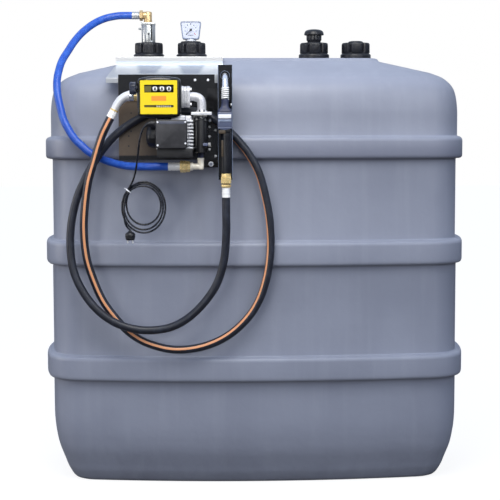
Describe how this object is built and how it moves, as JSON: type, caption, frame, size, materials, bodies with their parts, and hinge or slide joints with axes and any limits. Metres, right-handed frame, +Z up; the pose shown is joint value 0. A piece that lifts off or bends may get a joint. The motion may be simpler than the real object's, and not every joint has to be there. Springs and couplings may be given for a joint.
{
  "type": "diesel dispensing tank",
  "caption": "Banded plastic diesel tank on a flat base, with caps and contents gauge on its roof, and an electric pump, meter, hoses and nozzle on its front.",
  "frame": {"origin": "middle of the flat underside of the tank, on the ground", "axes": "+Z up, -Y out of the front that carries the pump, +X to the right seen from the front"},
  "size_m": [1.656, 0.96, 1.8305],
  "materials": {
    "tank_plastic": "blue-grey moulded plastic, satin, faintly orange-peeled",
    "black_plastic": "black moulded plastic, satin",
    "black_enamel": "gloss black enamel on steel",
    "grey_enamel": "blue-grey enamel",
    "yellow_enamel": "yellow enamel",
    "white_plastic": "white moulded plastic",
    "zinc": "zinc plated, bright",
    "aluminium": "cast, satin",
    "chrome": "plated",
    "brass": "machined",
    "blue_rubber": "blue hose cover, satin",
    "black_rubber": "black hose cover, satin"
  },
  "bodies": {
    "tank": {"tank_floor_pan": "tank_plastic", "tank_wall": "tank_plastic", "tank_roof": "tank_plastic", "band_lower": "tank_plastic", "band_middle": "tank_plastic", "band_upper": "tank_plastic", "cap_1": "black_plastic", "cap_2": "black_plastic", "cap_3": "black_plastic", "cap_4": "black_plastic", "cap_button": "black_plastic", "vent": "black_plastic", "riser_sleeve": "zinc", "riser_pipe": "zinc", "riser_elbow": "brass", "riser_ferrule": "zinc", "gauge_case": "white_plastic", "bracket": "zinc", "pump_plate": "black_enamel", "motor_body": "aluminium", "terminal_box": "black_plastic", "terminal_lid": "black_plastic", "cable_gland": "black_plastic", "pump_head": "black_enamel", "transfer_flange": "aluminium", "inlet_flange": "aluminium", "filter_clip": "grey_enamel", "suction_nipple": "black_enamel", "suction_elbow": "brass", "suction_nut": "brass", "suction_ferrule": "zinc", "suction_hose": "blue_rubber", "meter_body": "black_enamel", "meter_frame": "black_enamel", "meter_face": "yellow_enamel", "number_wheels": "black_plastic", "outlet_elbow": "aluminium", "outlet_ring": "brass", "delivery_ferrule": "zinc", "delivery_hose": "black_rubber", "nozzle_holder": "black_enamel", "nozzle_spout": "chrome", "nozzle_body": "grey_enamel", "nozzle_grip": "black_plastic", "nozzle_lever": "black_enamel", "nozzle_swivel": "brass", "nozzle_ferrule": "zinc", "pump_lead": "black_rubber", "lead_coil": "black_rubber", "lead_plug": "black_plastic"},
    "knob": {"reset_knob": "black_plastic"},
    "needle": {"gauge_needle": "black_enamel"}
  },
  "joints": [
    {"name": "reset_knob_turn", "type": "hinge", "parent": "tank", "child": "knob", "pos_m": [-0.45, -0.515, 1.505], "axis": [1, 0, 0], "continuous": true},
    {"name": "gauge_needle_turn", "type": "hinge", "parent": "tank", "child": "needle", "pos_m": [-0.25, -0.0232, 1.752], "axis": [0, 1, 0], "range_deg": [0, 270]}
  ]
}
